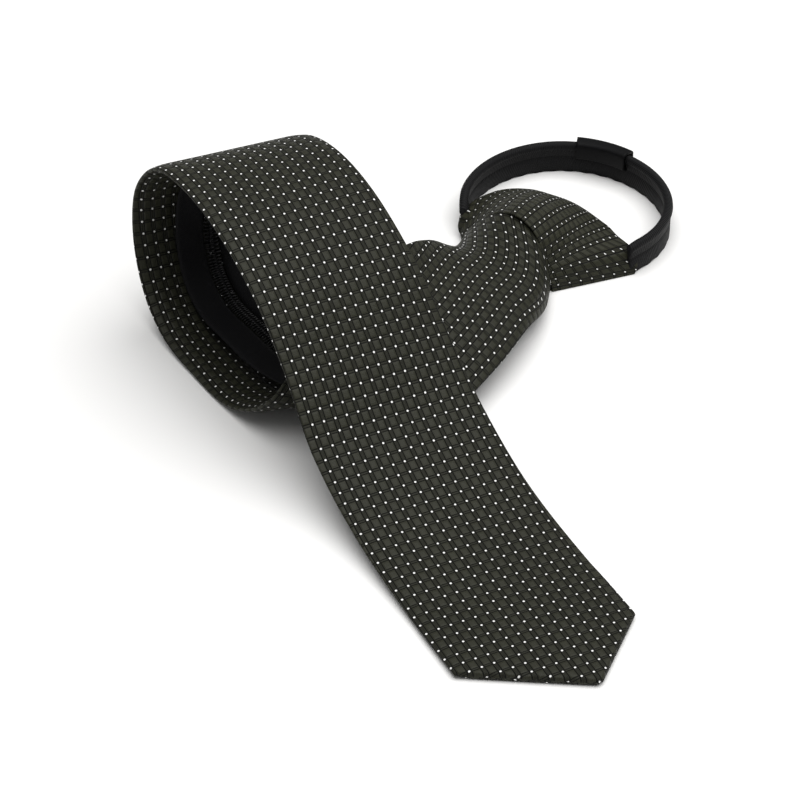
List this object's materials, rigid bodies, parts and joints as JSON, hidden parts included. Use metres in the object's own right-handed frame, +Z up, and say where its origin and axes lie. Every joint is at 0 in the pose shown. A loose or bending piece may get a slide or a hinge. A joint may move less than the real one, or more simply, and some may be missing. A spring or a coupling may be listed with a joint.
{
  "type": "zipper tie",
  "caption": "Pre-tied zipper tie lying in a loose roll: folded patterned blade with a pointed end, zipper down its back, wrapped knot, small corded neck loop and nape sleeve.",
  "frame": {"origin": "middle of the footprint, on the surface the tie lies on", "axes": "+Z up from the surface; the pointed end of the blade lies towards -Y, the neck loop towards +Y and the open roll towards -X"},
  "size_m": [0.1778, 0.2704, 0.0648],
  "materials": {
    "patterned_cloth": "woven satin squares with small pale dots",
    "zipper_tape": "tight woven tape",
    "zipper_coil": "semi-matt moulded coil",
    "neck_tape": "woven tape, soft sheen",
    "sleeve_cloth": "smooth satin"
  },
  "bodies": {
    "root": {"blade": "patterned_cloth", "knot": "patterned_cloth", "zipper_tape_left": "zipper_tape", "zipper_chain": "zipper_coil", "zipper_tape_right": "zipper_tape", "neck_band": "neck_tape", "nape_sleeve": "sleeve_cloth"}
  },
  "joints": []
}
